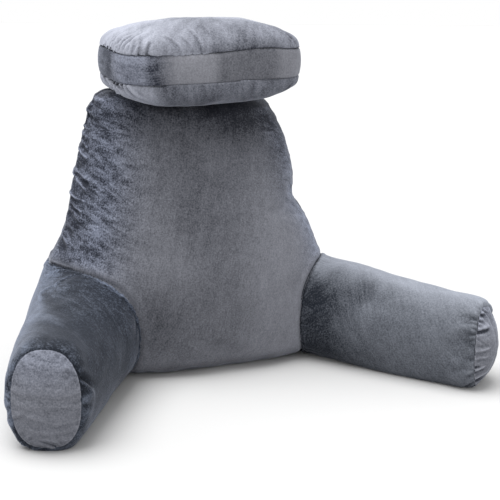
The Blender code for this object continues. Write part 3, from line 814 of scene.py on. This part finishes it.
for side, name in ((-1, "left"), (1, "right")):
    tip = arm_surface(side, np.full(ARM_COLUMNS, 2.0), arm_section)
    middle = (tip.max(axis=0) + tip.min(axis=0)) / 2
    heading = arm_lines[side][2] - arm_lines[side][1]
    ahead = np.array([*(heading / np.linalg.norm(heading) * (side, 1)), 0.0])
    radius = np.sin(np.linspace(np.pi / 2, 0.03, END_ROWS))[:, None, None]
    dome = middle + (tip - middle) * radius + ahead * (END_GAP + END_DOME * (1 - radius**2.3))
    rear = middle + (tip - middle) * np.array([0.5, 0.98])[:, None, None] + ahead * END_GAP
    rim = np.broadcast_to(lengths(tip[None], 1), (END_ROWS, ARM_COLUMNS))
    from_rim = (1 - radius[..., 0]) * END_REACH + np.zeros(ARM_COLUMNS)
    relief = gathers(rim, from_rim, 0.01, 0.0017, 0.015, 91 + side)
    across_way = np.cross((0, 0, 1), ahead)
    folds = pleats((dome - middle) @ across_way, dome[..., 2], END_WRINKLES[side], hollow=0.003)
    relief += folds + waves(dome * (0.45, 0.45, 2.2), 0.03, 95) * 0.00045
    relief *= np.clip(radius[..., 0] * 4, 0, 1)
    dome = dome + ahead * (relief - FOLDS_FLATTER * folds)[..., None]
    points, quads, fans = tube_mesh(np.concatenate([rear, dome]), side < 0)
    end = mesh_piece(f"velvet_end_{name}", points, quads, fans)
    nap = 0.5 + 0.05 * np.clip((points[:, 2] - 0.04) / 0.05, 0, 1)
    # The folds are painted lighter on their crests as highlight and darker in their hollows as shade, with a
    # thin painted highlight just inside the rim and painted shade in the seam.
    painted_fold_and_rim_light = np.clip((105.0 + 35.0 * side) * relief, -0.48, 0.42)
    painted_fold_and_rim_light += 0.22 * bell(from_rim, 0.0011, 0.0007) - 0.3 * bell(from_rim, 0, 0.0006)
    nap[2 * ARM_COLUMNS : -2] += painted_fold_and_rim_light.ravel()
    crush = 0.15 + 0.3 * np.clip((points[:, 2] - 0.085) / 0.05, 0, 1)
    flat = np.stack([(points - middle) @ across_way, points[:, 2]], axis=-1)
    pile = velvet(f"end_pile_{name}", END_DARK, (0.235, 0.24, 0.268), (90, 300), 0.2)
    dress(end, pile, nap, crush, flat)
    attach(end, "root")
    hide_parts(f"arm_end_{name}")

# ------------------------------
# The head cushion: a boxed velvet pillow of a top and a bottom panel, gathered at their rounded
# corners on to a straight gusset band, resting on the top of the back.

HEAD_HALF = np.array([0.167, 0.0961])
HEAD_SQUARENESS = 4.4
HEAD_TOP_CROWN = 0.047
HEAD_BOTTOM_CROWN = 0.0506
HEAD_CROWN_POWER = 2.2
HEAD_CENTRE = (0.009, 0.01, 0.517)
HEAD_TURN = (0.1, -0.03, 0.012)  # its tilt, roll and yaw, in radians
BAND_HEIGHT = 0.049
BAND_THICKNESS = 0.003
BAND_BULGE = 0.002
HEAD_REACH = 0.11  # from the middle of a panel to its edge
HEAD_COLUMNS = 480
HEAD_ROWS = 60


def turned_on_head(points):
    """Points of the level cushion, turned by roll, tilt and yaw in that order and set in place."""
    return points @ np.array(Euler(HEAD_TURN, "YXZ").to_matrix()).T + HEAD_CENTRE + ORIGIN


outline, along_outline = oval(HEAD_SQUARENESS, HEAD_COLUMNS, np.pi / 2, HEAD_HALF)
edge = BAND_HEIGHT / 2
inset = 1 - (BAND_THICKNESS + 0.0012) / HEAD_HALF
share = np.sin(np.linspace(0.02, 1, HEAD_ROWS) * np.pi / 2)
crown = np.sqrt(1 - share**HEAD_CROWN_POWER)
gathered = np.clip((np.abs(outline[:, 0]) / HEAD_HALF[0] - 0.78) / 0.12, 0, 1)  # its two short ends
gathered *= np.where(outline[:, 0] > 0, 0.5, 1.0)
# Creases of the top and the bottom panel, from the level cushion's middle to the right and the rear:
# dark tucks where the depth is below 0, pale ridges where it is above, both shaped and painted, as
# shade in the tucks and highlight on the ridges.
HEAD_CREASES = {
    1: table(
        FOLD,
        (-0.137, -0.036, -0.164, -0.053, -0.0062, 0.0026), (-0.152, -0.026, -0.166, -0.041, -0.0048, 0.0022),
        (-0.157, -0.012, -0.168, -0.016, -0.0042, 0.002), (-0.159, 0.004, -0.168, 0, -0.004, 0.002),
        (-0.157, 0.021, -0.168, 0.022, -0.0034, 0.002), (-0.137, -0.065, -0.15, -0.078, -0.0034, 0.002),
        (-0.13, -0.072, -0.141, -0.085, -0.0034, 0.002), (-0.116, -0.079, -0.129, -0.09, -0.0038, 0.0022),
        (-0.096, -0.07, -0.065, -0.098, 0.0028, 0.0018), (-0.068, -0.074, -0.045, -0.098, 0.0022, 0.0018),
        (-0.043, -0.058, -0.03, -0.098, 0.0038, 0.002), (-0.017, -0.052, -0.01, -0.078, 0.0018, 0.0018),
        (0.126, -0.062, 0.15, -0.074, 0.0018, 0.003),
    ),
    -1: table(
        FOLD,
        (-0.154, -0.049, -0.168, -0.029, -0.0054, 0.0022), (-0.156, -0.058, -0.167, -0.043, -0.0064, 0.0024),
        (-0.153, -0.061, -0.164, -0.061, -0.0038, 0.002), (-0.158, 0.011, -0.168, 0.027, -0.0034, 0.002),
        (-0.126, -0.071, -0.157, -0.073, 0.003, 0.002), (-0.144, -0.06, -0.161, -0.067, 0.0024, 0.0018),
        (-0.147, -0.05, -0.168, 0.008, 0.0028, 0.002),
    ),
}
# How dark each seam is painted along the band, and how deep its groove is: painted shade at 1, down to a
# painted highlight at -1 where its edge catches the light.
SEAM_SHADE_AND_HIGHLIGHT = {
    1: table(
        "along  dark",
        (0, 0.5), (0.24, 0.7), (0.345, 0.7), (0.362, -0.6),
        (0.44, -0.9), (0.458, 0.5), (0.6, 0.8), (1, 0.5),
    ),
    -1: table(
        "along  dark",
        (0, 0.5), (0.24, 0.5), (0.32, 0.7), (0.366, 1),
        (0.382, -0.4), (0.47, -0.5), (0.56, 0), (1, 0.5),
    ),
}


def pulled_up(points):
    """The level cushion with its front seams pulled up right of the middle: points rise by a bell
    curve across the width, more at the front than behind and more at the top than at the bottom."""
    pull = bell(points[..., 0], 0.07, 0.058) * past(-points[..., 1], 0.035, 0.018)
    up = pull * (0.0048 + 0.0022 * np.clip(points[..., 2] / edge, -1, 1))
    return points + up[..., None] * (0, 0, 1)


def panel_grid(way, most):
    """One crowned panel from its middle to its edge: the outline times a share s, and the edge's
    height plus the crown sqrt(1 - s^power) above it."""
    z = np.broadcast_to((way * (edge + most * crown))[:, None, None], (HEAD_ROWS, HEAD_COLUMNS, 1))
    return np.concatenate([outline[None] * share[:, None, None], z], axis=-1)


groove = [np.concatenate([outline * inset, np.full((HEAD_COLUMNS, 1), z)], axis=1) for z in (-edge, edge)]
panels = panel_grid(-1, HEAD_BOTTOM_CROWN), panel_grid(1, HEAD_TOP_CROWN)[::-1]
grid = np.concatenate([panels[0], np.array(groove) * 0.98, panels[1]])
relief, seam_shade_and_highlight = np.zeros((2, *grid.shape[:2]))
for way, rows, seed, lean in ((-1, slice(0, HEAD_ROWS), 101, 0.3), (1, slice(-HEAD_ROWS, None), 111, -0.3)):
    away = (1 - share[::-way])[:, None] * HEAD_REACH + np.zeros(HEAD_COLUMNS)
    dark = np.interp(along_outline, *SEAM_SHADE_AND_HIGHLIGHT[way].values())
    seam_shade_and_highlight[rows] = dark * bell(crown[::-way], 0, 0.05)[:, None]
    along = np.broadcast_to(along_outline, away.shape)
    relief[rows] += gathers(along, away, 0.011, 0.006, 0.016, seed, lean) * (0.12 + 0.9 * gathered)
    relief[rows] += gathers(along, away, 0.034, 0.0022, 0.045, seed + 1, lean) * (0.5 + 0.5 * gathered)
    relief[rows] -= 0.0014 * np.clip(0.3 + dark, 0, 1) * np.exp(-((away / 0.004) ** 1.5))
    relief[rows] += pleats(grid[rows][..., 0], grid[rows][..., 1], HEAD_CREASES[way], hollow=0.0025)
points, quads, fans = tube_mesh(grid, False)
flat = points[:, :2].copy()
normals = cloth_normals(points, quads)
points[:-2] += normals[:-2] * relief.reshape(-1, 1)
lumps = waves(points, 0.08, 121) * 0.001 + waves(points, 0.03, 122) * 0.0004
points += normals * (lumps * (np.abs(points[:, 2]) > edge))[:, None]
level_z = points[:, 2].copy()
points = turned_on_head(pulled_up(points))
head = mesh_piece("velvet_head_cushion", points, quads, fans)
x, y = flat.T
# The top is lighter towards its left end, its pile with a painted highlight there, and a painted sheen
# highlight lies along its rear. The bottom is lighter at its left end as painted light from the floor.
on_top = 0.45 + 0.42 * past(-0.085 - x, 0, 0.018) + 0.44 * past(y, 0.03, 0.02) + 0.07 * past(x, 0.05, 0.02)
on_top -= 0.22 * bell(x, -0.1, 0.022) * bell(y, -0.092, 0.012)
nap = np.where(level_z > 0, on_top, 0.33 + 0.62 * past(-0.108 - x, 0, 0.01))
nap += 0.06 * waves(points, 0.07, 123)
# Raised cloth is painted lighter as highlight, and tucks and hollows darker as shade. The seams are painted
# with shade, and with highlight where their edge catches the light.
nap[:-2] += np.clip(90.0 * relief.ravel(), -0.45, 0.4) - 0.28 * seam_shade_and_highlight.ravel()
pile = velvet("head_pile", END_DARK, (0.33, 0.34, 0.385), (24, 80), -1.1, 0.6)
dress(head, pile, nap, np.full(len(points), 0.15), flat)
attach(head, "root")
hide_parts("head_cushion")

# ------------------------------
# The gusset band: one straight strip of velvet round the head cushion, sewn to both panels, with its
# pile brushed down, so that it is lighter and darker in stretches along it. The dark stretch where it
# turns at its front left is painted shade.

BAND_ROWS = 24
BAND_GAP = 0.0004
# How light the band is along its length, from the middle of its rear round its left end to the front: the
# pile's own tone, with painted shade from 0.349 to 0.368 where it turns at the front left.
PILE_ALONG_BAND = table(
    "along  nap",
    (0, 0.5), (0.18, 0.35), (0.23, 0.1), (0.258, 0.14), (0.292, 0.66), (0.338, 0.77),
    (0.349, 0.28), (0.36, 0.22), (0.368, 0.4), (0.392, 0.82), (0.455, 0.84), (0.472, 0.42),
    (0.562, 0.42), (0.588, 0.72), (0.64, 0.7), (0.7, 0.45), (0.93, 0.5),
)
level_share = np.linspace(-1, 1, BAND_ROWS)
bulge = (BAND_BULGE + 0.0008) * (1 - level_share**2)
edge_tuck = 0.0014 * bell((1 - np.abs(level_share)) * edge, 0, 0.0022)
# The outer side's rows from below, then the inner side's two from above.
scale = 1 + np.array([*(bulge - edge_tuck), -BAND_THICKNESS, -BAND_THICKNESS])[:, None] / HEAD_HALF
level_z = np.array([*level_share, 1.0, -1.0])[:, None, None] * (edge - BAND_GAP) * np.ones((HEAD_COLUMNS, 1))
rings = np.concatenate([outline * scale[:, None], level_z], axis=-1)
index = np.arange(rings[..., 0].size).reshape(rings.shape[:2])
quads = grid_quads(np.pad(index, ((0, 1), (0, 1)), "wrap"))
points = rings.reshape(-1, 3)
normals = cloth_normals(points, quads)
relief = waves(points * (1, 1, 0.5), 0.035, 131) * 0.0005
flat = np.stack([np.broadcast_to(along_outline, rings.shape[:2]), rings[..., 2]], axis=-1).reshape(-1, 2)
points = turned_on_head(pulled_up(points + normals * relief[:, None]))
band = mesh_piece("velvet_band", points, quads)
nap = np.interp(flat[:, 0], *PILE_ALONG_BAND.values()) + 0.04 * waves(points * (1, 1, 0.3), 0.08, 133)
# Painted shade in the seams along the band's edges, and a painted highlight where an edge catches the light.
for way in (-1, 1):
    by_seam = bell(way * flat[:, 1], edge, 0.002)
    nap -= 0.28 * by_seam * np.interp(flat[:, 0], *SEAM_SHADE_AND_HIGHLIGHT[way].values())
crush = 0.1 + 0.55 * past(0.364 - flat[:, 0], 0, 0.009) * past(flat[:, 0], 0.15, 0.02)
dress(band, velvet("band_pile", END_DARK, (0.235, 0.237, 0.26), (420, 60)), nap, crush, flat)
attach(band, "root")
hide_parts("head_band")
